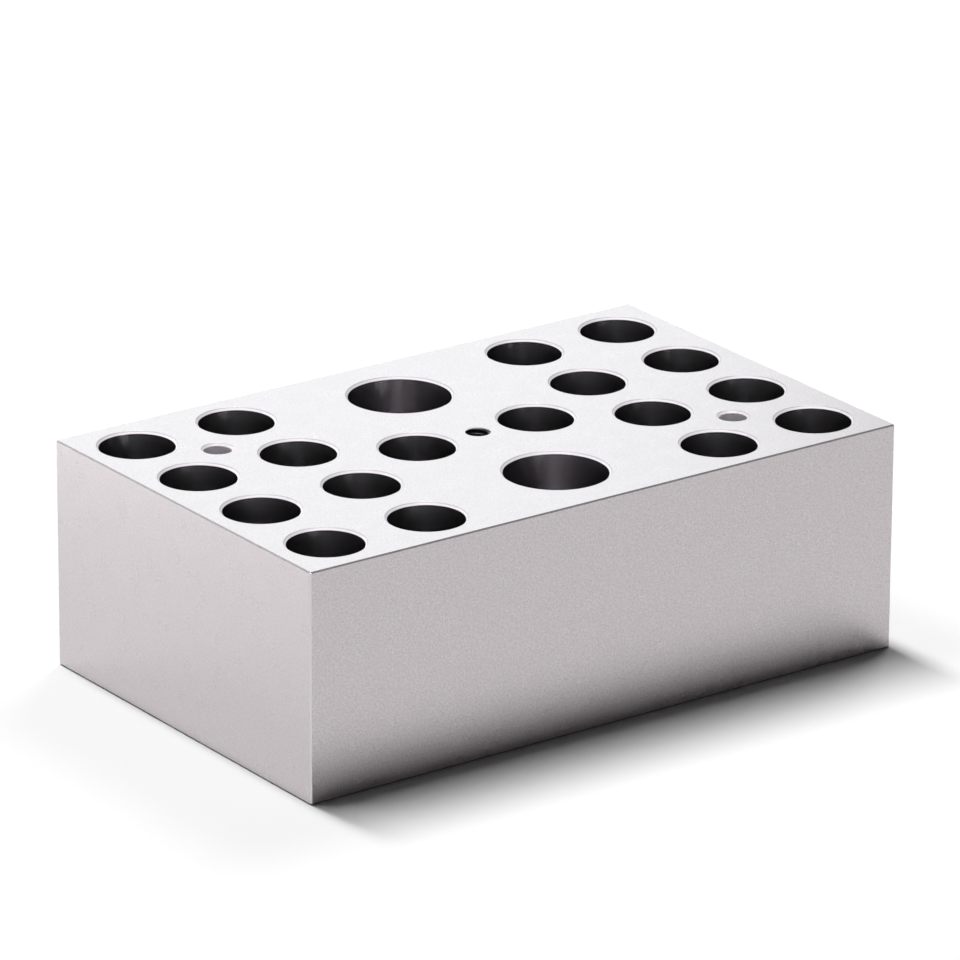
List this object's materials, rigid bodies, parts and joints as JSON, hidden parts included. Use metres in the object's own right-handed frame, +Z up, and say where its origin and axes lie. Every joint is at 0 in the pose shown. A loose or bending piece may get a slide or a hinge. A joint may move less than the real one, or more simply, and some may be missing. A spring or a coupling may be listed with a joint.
{
  "type": "heat block insert",
  "caption": "Rectangular aluminium block with rows of round wells for vials and tubes, two probe holes and a tapped lifting hole, for a dry-block heater.",
  "frame": {"origin": "middle of the flat underside, on the surface that the block stands on", "axes": "+X along the long side, +Y along the short side, +Z up out of the wells' mouths"},
  "size_m": [0.1494, 0.0936, 0.0505],
  "materials": {
    "anodised_aluminium": "fine bead-blasted, clear anodised"
  },
  "bodies": {
    "root": {"heat_block": "anodised_aluminium"}
  },
  "joints": []
}
